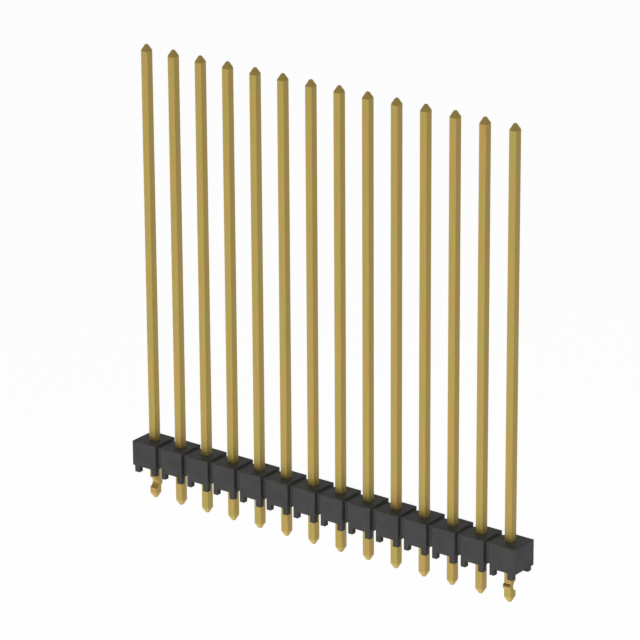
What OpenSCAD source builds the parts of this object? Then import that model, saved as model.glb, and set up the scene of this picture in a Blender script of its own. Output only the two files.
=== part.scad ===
// Single-row breakaway pin header with long square posts.
// The board plane is z = 0: the insulator's corner feet stand on it, the tails go down through
// it and the posts rise above the insulator. X runs along the row from the first contact to the
// last, the strip is centred on X and Y, and -Y is its front.

/* [Row] */
// Number of contacts
positions = 14; // [2:1:36]
// Distance from one contact to the next
pitch = 2.54; // [2.4:0.01:2.8]

/* [Insulator] */
// Width of one block along the row, between two notches
block_w = 2.01; // [1.8:0.01:2.2]
// Depth of the insulator from front to back
body_depth = 2.45; // [2:0.01:3]
// Height of the insulator above its feet
body_h = 1.99; // [1.5:0.01:3]
// Distance from an end contact's axis to the end face
end_reach = 1.245; // [1.15:0.005:1.3]
// How far each breaking notch goes in from the front and from the back
notch_depth = 0.38; // [0.2:0.01:0.6]
// How far the neck between two blocks lies below the top face and above the underside
neck_recess = 0.16; // [0.05:0.01:0.4]
// Rounding of the blocks' upright edges and top edges
block_edge_r = 0.08; // [0.03:0.01:0.15]

/* [Feet] */
// Width of a foot along the row
foot_w = 0.43; // [0.2:0.01:0.6]
// Depth of a foot from front to back
foot_d = 0.41; // [0.2:0.01:0.6]
// Height of a foot, which holds the insulator clear of the board
foot_h = 0.51; // [0.2:0.01:1]

/* [Contacts] */
// Side of the square contact
pin_w = 0.64; // [0.5:0.01:0.8]
// Rounding of the contact's long edges
pin_edge_r = 0.08; // [0.02:0.01:0.15]
// Length of the posts above the insulator
post_len = 31.47; // [5:0.01:40]
// Length of the tails below the board plane
tail_len = 2.29; // [2:0.01:5]
// Length of the tapered point on a post
post_tip_len = 0.49; // [0.2:0.01:1]
// Side of the square flat at the end of a post
post_tip_flat = 0.17; // [0.1:0.01:0.4]
// Length of the tapered point on a tail
tail_tip_len = 0.45; // [0.2:0.01:0.5]
// Side of the square flat at the end of a tail
tail_tip_flat = 0.2; // [0.1:0.01:0.4]
// Gap on each side between a contact and its hole
hole_gap = 0.01; // [0:0.005:0.03]

/* [Locking kinks] */
// Distance from the board plane down to the middle of the kink in an end tail
kink_drop = 1.03; // [0.8:0.01:1.2]
// Depth of the round dent on the kink's inner side
dent_depth = 0.36; // [0.1:0.01:0.4]
// Radius of that dent
dent_r = 0.42; // [0.4:0.01:0.6]
// Height of the bulge on the kink's outer side
bulge_h = 0.17; // [0.05:0.01:0.3]
// Radius of that bulge
bulge_r = 0.22; // [0.2:0.01:0.5]

/* [Hidden] */
$fn = 48;
// How far a cutter runs past the face it cuts
over = 0.5;

top_z = foot_h + body_h;
post_z = top_z + post_len;
row_len = (positions - 1) * pitch;
neck_depth = body_depth - 2 * notch_depth;
hole_w = pin_w + 2 * hole_gap;

plastic_black = [0.17, 0.17, 0.175];
contact_gold = [0.72, 0.61, 0.34];

function pin_x(i) = i * pitch - row_len / 2;
function pin_name(i) = str("pin_", i < 9 ? "0" : "", i + 1);

// Square with rounded corners, centred: the section of a contact and, opened up, of its hole
module rounded_square(side_x, side_y, r) {
    square([side_x - 2 * r, side_y], center = true);
    square([side_x, side_y - 2 * r], center = true);
    for (sx = [-1, 1], sy = [-1, 1])
        translate([sx * (side_x / 2 - r), sy * (side_y / 2 - r)]) circle(r);
}

// Side view of a contact, wider than it is, so that only its two ends are cut to a point
module pointed_outline() {
    post_slope = (pin_w - post_tip_flat) / 2 / post_tip_len;
    tail_slope = (pin_w - tail_tip_flat) / 2 / tail_tip_len;
    // Half a width more on each side, with the slopes run on to it
    half = pin_w;
    post_run = (half - post_tip_flat / 2) / post_slope;
    tail_run = (half - tail_tip_flat / 2) / tail_slope;
    polygon([
        [-half, post_z - post_run], [-post_tip_flat / 2, post_z],
        [post_tip_flat / 2, post_z], [half, post_z - post_run],
        [half, tail_run - tail_len], [tail_tip_flat / 2, -tail_len],
        [-tail_tip_flat / 2, -tail_len], [-half, tail_run - tail_len]
    ]);
}

// Straight contact: rounded square bar with a four-sided point at each end
module straight_contact() {
    intersection() {
        translate([0, 0, -tail_len])
            linear_extrude(post_z + tail_len) rounded_square(pin_w, pin_w, pin_edge_r);
        translate([0, pin_w, 0]) rotate([90, 0, 0]) linear_extrude(2 * pin_w) pointed_outline();
        rotate([0, 0, 90])
            translate([0, pin_w, 0]) rotate([90, 0, 0]) linear_extrude(2 * pin_w) pointed_outline();
    }
}

// Cylinder along the row, across a contact
module cross_bar(r, length) {
    rotate([0, 90, 0]) cylinder(r = r, h = length, center = true);
}

// End contact: a round punch has dented the tail on one side and pushed it out on the other,
// so that it grips the wall of its hole in the board. It bulges towards +Y.
module locking_contact() {
    dent_y = -pin_w / 2 + dent_depth - dent_r;
    bulge_y = pin_w / 2 + bulge_h - bulge_r;
    difference() {
        union() {
            straight_contact();
            intersection() {
                translate([0, bulge_y, -kink_drop]) cross_bar(bulge_r, pin_w);
                translate([0, 0, -kink_drop - bulge_r])
                    linear_extrude(2 * bulge_r)
                        rounded_square(pin_w, pin_w + 2 * bulge_h, pin_edge_r);
            }
        }
        translate([0, dent_y, -kink_drop]) cross_bar(dent_r, pin_w + 2 * over);
    }
}

// The first contact's kink bulges to the back and the last one's to the front
module contact(i) {
    color(contact_gold)
        translate([pin_x(i), 0, 0])
            if (i == 0) locking_contact();
            else if (i == positions - 1) rotate([0, 0, 180]) locking_contact();
            else straight_contact();
}

// Outline of a block seen from one side: square below, rounded at its two top corners
module block_outline(side) {
    translate([0, (top_z - over) / 2]) rounded_square(side, top_z + over, block_edge_r);
}

// Solid block down to the board plane, with its upright and top edges rounded
module solid_block(reach_left, reach_right) {
    width = reach_left + reach_right;
    translate([(reach_right - reach_left) / 2, 0, 0])
        intersection() {
            linear_extrude(top_z) rounded_square(width, body_depth, block_edge_r);
            translate([0, body_depth, 0])
                rotate([90, 0, 0]) linear_extrude(2 * body_depth) block_outline(width);
            rotate([0, 0, 90])
                translate([0, width, 0])
                    rotate([90, 0, 0]) linear_extrude(2 * width) block_outline(body_depth);
        }
}

// One block of the insulator: crossed reliefs under it leave a foot at each corner, and an end
// block's plain end stands past its feet
module block(reach_left, reach_right) {
    gap_x = block_w - 2 * foot_w;
    gap_y = body_depth - 2 * foot_d;
    cut_y = body_depth + 2 * over;
    difference() {
        solid_block(reach_left, reach_right);
        translate([-gap_x / 2, -cut_y / 2, -over]) cube([gap_x, cut_y, foot_h + over]);
        translate([-pitch, -gap_y / 2, -over]) cube([2 * pitch, gap_y, foot_h + over]);
        if (reach_left > block_w / 2)
            translate([-pitch, -cut_y / 2, -over])
                cube([pitch - block_w / 2, cut_y, foot_h + over]);
        if (reach_right > block_w / 2)
            translate([block_w / 2, -cut_y / 2, -over])
                cube([pitch - block_w / 2, cut_y, foot_h + over]);
    }
}

// One moulding: the blocks and the thinner necks that they snap apart at
module insulator() {
    neck_h = body_h - 2 * neck_recess;
    color(plastic_black)
        difference() {
            union() {
                for (i = [0 : positions - 1])
                    translate([pin_x(i), 0, 0])
                        block(i == 0 ? end_reach : block_w / 2,
                              i == positions - 1 ? end_reach : block_w / 2);
                translate([-row_len / 2, -neck_depth / 2, foot_h + neck_recess])
                    cube([row_len, neck_depth, neck_h]);
            }
            for (i = [0 : positions - 1])
                translate([pin_x(i), 0, -over])
                    linear_extrude(top_z + 2 * over)
                        rounded_square(hole_w, hole_w, pin_edge_r + hole_gap);
        }
}

insulator();
for (i = [0 : positions - 1])
    contact(i);
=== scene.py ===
import math

import bpy
from mathutils import Matrix, Vector

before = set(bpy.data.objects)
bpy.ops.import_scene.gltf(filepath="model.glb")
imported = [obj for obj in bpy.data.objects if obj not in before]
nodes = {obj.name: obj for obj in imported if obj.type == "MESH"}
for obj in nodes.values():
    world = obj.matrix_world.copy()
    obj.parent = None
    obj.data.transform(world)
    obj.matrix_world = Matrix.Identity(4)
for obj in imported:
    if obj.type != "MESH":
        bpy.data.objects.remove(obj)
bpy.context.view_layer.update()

PIN_NAMES = sorted(name for name in nodes if name.startswith("pin_"))

# Lengths are written in millimetres and turned into metres by MM
MM = 0.001

# Camera, as fitted to the contacts in the photograph: it looks down on the strip's front and right
CAMERA_AIM = Vector((-0.568, 0.0, 15.706)) * MM
CAMERA_DISTANCE = 296.2 * MM
CAMERA_AZIMUTH = 37.12
CAMERA_ELEVATION = 20.30
CAMERA_ROLL = -0.338
CAMERA_LENS = 227.4
SENSOR_WIDTH = 36.0
CLIP_START = 10 * MM
CLIP_END = 20000 * MM

# Studio: a pale floor well below the strip, and a room of plain cards that the camera doesn't
# see. A level of 1 is white. The floor's fill tops it up to white where it is seen.
WHITE = (1, 1, 1)
FLOOR_Z = -250.0 * MM
FLOOR_SIDE = 8000.0 * MM
FLOOR_COLOUR = (0.8, 0.8, 0.8)
FLOOR_FILL = 0.74
ROOM_REACH = 1500.0 * MM
FRONT_LEVEL = 0.36
LEFT_LEVEL = 0.34
RIGHT_LEVEL = 0.25
BACK_LEVEL = 0.38
TOP_LEVEL = 0.03
WORLD_LEVEL = 0.35

# Flag: a cool grey card behind the strip on its right, which the contacts' right sides reflect
FLAG_DISTANCE = 130.0 * MM
FLAG_AZIMUTH = 120.0
FLAG_SIDE = 440.0 * MM
FLAG_TOP = 30.0 * MM
FLAG_LEVEL = 0.545
FLAG_TINT = (0.97, 0.98, 1.20)

# Soft boxes: the key light at the front, and weaker ones on the right and at the back left
BOX_DISTANCE = 600.0 * MM
BOX_SIDE = 450.0 * MM
BOX_ELEVATION = 4.0
BOX_SPREAD = 70.0
KEY_AZIMUTH = 14.0
KEY_WATTS = 0.47
RIGHT_AZIMUTH = 88.0
RIGHT_WATTS = 0.21
BACK_AZIMUTH = 215.0
BACK_WATTS = 0.12

# Noise is spread between these two of its values
NOISE_LOW = 0.35
NOISE_HIGH = 0.65

# Black moulding: cloudy base colour, and a fine grain in its gloss and surface
BLACK_LOW = (0.063, 0.063, 0.063)
BLACK_HIGH = (0.075, 0.075, 0.075)
BLACK_SPECULAR = 0.12
BLACK_ROUGHNESS_LOW = 0.24
BLACK_ROUGHNESS_HIGH = 0.32
CLOUD_SIZE = 0.9 * MM
CLOUD_DETAIL = 3.0
GRAIN_SIZE = 0.09 * MM
GRAIN_DETAIL = 2.0
GRAIN_DEPTH = 0.0015 * MM

# Gold plating: two tints that change from place to place, and streaks drawn out along the wire
GOLD_YELLOW = (0.690, 0.568, 0.160)
GOLD_WARM = (0.756, 0.531, 0.172)
GOLD_ROUGHNESS_LOW = 0.54
GOLD_ROUGHNESS_HIGH = 0.62
TINT_SIZE = 0.8 * MM
TINT_DETAIL = 3.0
TINT_STRETCH = 3.0
STREAK_SIZE = 0.05 * MM
STREAK_DETAIL = 2.0
STREAK_STRETCH = 60.0
STREAK_DEPTH = 0.001 * MM


def direction(azimuth, elevation):
    """Unit vector to a place round the strip: azimuth 0 is its front and 90 its right"""
    a, e = math.radians(azimuth), math.radians(elevation)
    return Vector((math.sin(a) * math.cos(e), -math.cos(a) * math.cos(e), math.sin(e)))


def facing(place, towards):
    """Matrix at a place, with its local Z pointing at another place"""
    turn = (towards - place).to_track_quat("Z", "Y").to_matrix().to_4x4()
    return Matrix.Translation(place) @ turn


def make_camera():
    """Camera at the photograph's viewing angle, with the small roll of its frame"""
    data = bpy.data.cameras.new("camera")
    data.lens = CAMERA_LENS
    data.sensor_width = SENSOR_WIDTH
    data.clip_start = CLIP_START
    data.clip_end = CLIP_END
    place = CAMERA_AIM + direction(CAMERA_AZIMUTH, CAMERA_ELEVATION) * CAMERA_DISTANCE
    # A camera looks along its local -Z, so its Z points away from the aim
    level = facing(place, 2 * place - CAMERA_AIM)
    camera = bpy.data.objects.new("camera", data)
    camera.matrix_world = level @ Matrix.Rotation(math.radians(CAMERA_ROLL), 4, "Z")
    bpy.context.scene.collection.objects.link(camera)
    bpy.context.scene.camera = camera


def add_node(tree, kind, **values):
    """A shader node with its sockets set by name, with _ for a space"""
    node = tree.nodes.new(kind)
    for name, value in values.items():
        node.inputs[name.replace("_", " ")].default_value = value
    return node


def new_material(name):
    material = bpy.data.materials.new(name)
    material.use_nodes = True
    material.node_tree.nodes.clear()
    return material, material.node_tree


def finish_material(tree, shader):
    output = tree.nodes.new("ShaderNodeOutputMaterial")
    tree.links.new(shader.outputs[0], output.inputs["Surface"])


def seen_directly(tree):
    """1 for camera, glossy and transmission rays, else 0"""
    path = tree.nodes.new("ShaderNodeLightPath")
    seen = path.outputs["Is Camera Ray"]
    for name in ("Is Glossy Ray", "Is Transmission Ray"):
        either = tree.nodes.new("ShaderNodeMath")
        either.operation = "MAXIMUM"
        tree.links.new(seen, either.inputs[0])
        tree.links.new(path.outputs[name], either.inputs[1])
        seen = either.outputs[0]
    return seen


def make_world():
    """White where it is seen, and a plain grey level where it only lights"""
    world = bpy.data.worlds.new("studio")
    world.use_nodes = True
    tree = world.node_tree
    level = tree.nodes.new("ShaderNodeMapRange")
    level.inputs["To Min"].default_value = WORLD_LEVEL
    tree.links.new(seen_directly(tree), level.inputs["Value"])
    background = tree.nodes["Background"]
    background.inputs["Color"].default_value = (*WHITE, 1)
    tree.links.new(level.outputs[0], background.inputs["Strength"])
    bpy.context.scene.world = world


def flat_panel(name, matrix, side, material):
    """A square panel of the studio"""
    half = side / 2
    mesh = bpy.data.meshes.new(name)
    corners = [(-half, -half, 0), (half, -half, 0), (half, half, 0), (-half, half, 0)]
    mesh.from_pydata(corners, [], [(0, 1, 2, 3)])
    mesh.materials.append(material)
    panel = bpy.data.objects.new(name, mesh)
    panel.matrix_world = matrix
    bpy.context.scene.collection.objects.link(panel)
    return panel


def glow_material(name, level, tint=WHITE):
    """A card's even glow"""
    material, tree = new_material(name)
    glow = add_node(tree, "ShaderNodeEmission", Color=(*tint, 1), Strength=level)
    finish_material(tree, glow)
    return material


def floor_material():
    """Pale floor, lit for real so that it keeps shadows, and topped up to white where it is seen"""
    material, tree = new_material("floor_white")
    fill = tree.nodes.new("ShaderNodeMath")
    fill.operation = "MULTIPLY"
    fill.inputs[1].default_value = FLOOR_FILL
    tree.links.new(seen_directly(tree), fill.inputs[0])
    glow = tree.nodes.new("ShaderNodeEmission")
    tree.links.new(fill.outputs[0], glow.inputs["Strength"])
    lit = add_node(tree, "ShaderNodeBsdfDiffuse", Color=(*FLOOR_COLOUR, 1))
    both = tree.nodes.new("ShaderNodeAddShader")
    tree.links.new(glow.outputs[0], both.inputs[0])
    tree.links.new(lit.outputs[0], both.inputs[1])
    finish_material(tree, both)
    return material


def make_studio():
    """The floor, and the room of cards that stands on it"""
    flat_panel("floor", Matrix.Translation((0, 0, FLOOR_Z)), FLOOR_SIDE, floor_material())
    middle = Vector((0, 0, FLOOR_Z + ROOM_REACH))
    walls = [("card_front", (0, -1, 0), FRONT_LEVEL), ("card_back", (0, 1, 0), BACK_LEVEL),
             ("card_left", (-1, 0, 0), LEFT_LEVEL), ("card_right", (1, 0, 0), RIGHT_LEVEL),
             ("card_top", (0, 0, 1), TOP_LEVEL)]
    for name, way, level in walls:
        place = middle + Vector(way) * ROOM_REACH
        card = flat_panel(name, facing(place, middle), 2 * ROOM_REACH, glow_material(name, level))
        card.visible_camera = False


def make_flag():
    """A card that only reflections see, so it shades neither the strip nor the floor"""
    centre = Vector((0, 0, FLAG_TOP - FLAG_SIDE / 2))
    place = centre + direction(FLAG_AZIMUTH, 0) * FLAG_DISTANCE
    paint = glow_material("flag", FLAG_LEVEL, FLAG_TINT)
    flag = flat_panel("flag", facing(place, centre), FLAG_SIDE, paint)
    flag.visible_camera = False
    flag.visible_diffuse = False
    flag.visible_shadow = False


def make_soft_box(name, azimuth, watts):
    """A lamp that lights matt surfaces and leaves reflections to the room's cards"""
    data = bpy.data.lights.new(name, "AREA")
    data.energy = watts
    data.size = BOX_SIDE
    data.spread = math.radians(BOX_SPREAD)
    box = bpy.data.objects.new(name, data)
    place = CAMERA_AIM + direction(azimuth, BOX_ELEVATION) * BOX_DISTANCE
    box.matrix_world = facing(place, 2 * place - CAMERA_AIM)
    box.visible_glossy = False
    bpy.context.scene.collection.objects.link(box)


def noise(tree, size, detail, stretch=1.0):
    """Noise in the strip's own coordinates, with marks of one size, drawn out along Z"""
    place = tree.nodes.new("ShaderNodeTexCoord")
    scale = tree.nodes.new("ShaderNodeMapping")
    scale.inputs["Scale"].default_value = (1 / size, 1 / size, 1 / size / stretch)
    texture = add_node(tree, "ShaderNodeTexNoise", Scale=1.0, Detail=detail)
    tree.links.new(place.outputs["Object"], scale.inputs["Vector"])
    tree.links.new(scale.outputs[0], texture.inputs["Vector"])
    return texture.outputs["Fac"]


def ramp(tree, source, low, high):
    """Noise spread between two colours"""
    spread = tree.nodes.new("ShaderNodeValToRGB")
    for stop, place, value in zip(spread.color_ramp.elements, (NOISE_LOW, NOISE_HIGH), (low, high)):
        stop.position = place
        stop.color = (*value, 1)
    tree.links.new(source, spread.inputs[0])
    return spread.outputs[0]


def grey(value):
    return (value, value, value)


def bump(tree, source, depth):
    """Surface relief that follows the noise"""
    relief = add_node(tree, "ShaderNodeBump", Strength=1.0, Distance=depth)
    tree.links.new(source, relief.inputs["Height"])
    return relief.outputs[0]


def plastic_material():
    """Black moulding: low gloss, faint clouds in the colour and a fine moulded grain"""
    material, tree = new_material("insulator_black")
    shader = add_node(tree, "ShaderNodeBsdfPrincipled", Specular_IOR_Level=BLACK_SPECULAR)
    cloud = noise(tree, CLOUD_SIZE, CLOUD_DETAIL)
    grain = noise(tree, GRAIN_SIZE, GRAIN_DETAIL)
    colour = ramp(tree, cloud, BLACK_LOW, BLACK_HIGH)
    roughness = ramp(tree, grain, grey(BLACK_ROUGHNESS_LOW), grey(BLACK_ROUGHNESS_HIGH))
    tree.links.new(colour, shader.inputs["Base Color"])
    tree.links.new(roughness, shader.inputs["Roughness"])
    tree.links.new(bump(tree, grain, GRAIN_DEPTH), shader.inputs["Normal"])
    finish_material(tree, shader)
    return material


def gold_material():
    """Satin gold plating on drawn wire: slight changes of tint, and fine streaks along the wire"""
    material, tree = new_material("contact_gold")
    shader = add_node(tree, "ShaderNodeBsdfPrincipled", Metallic=1.0)
    tint = noise(tree, TINT_SIZE, TINT_DETAIL, TINT_STRETCH)
    streak = noise(tree, STREAK_SIZE, STREAK_DETAIL, STREAK_STRETCH)
    colour = ramp(tree, tint, GOLD_YELLOW, GOLD_WARM)
    roughness = ramp(tree, streak, grey(GOLD_ROUGHNESS_LOW), grey(GOLD_ROUGHNESS_HIGH))
    tree.links.new(colour, shader.inputs["Base Color"])
    tree.links.new(roughness, shader.inputs["Roughness"])
    tree.links.new(bump(tree, streak, STREAK_DEPTH), shader.inputs["Normal"])
    finish_material(tree, shader)
    return material


def dress(name, material):
    """Puts the material into every slot of a CAD node"""
    for slot in nodes[name].material_slots:
        slot.material = material


make_camera()
make_world()
make_studio()
make_flag()
make_soft_box("key", KEY_AZIMUTH, KEY_WATTS)
make_soft_box("right", RIGHT_AZIMUTH, RIGHT_WATTS)
make_soft_box("back", BACK_AZIMUTH, BACK_WATTS)
dress("insulator", plastic_material())
gold = gold_material()
for pin in PIN_NAMES:
    dress(pin, gold)

bpy.context.scene.view_settings.view_transform = "Standard"
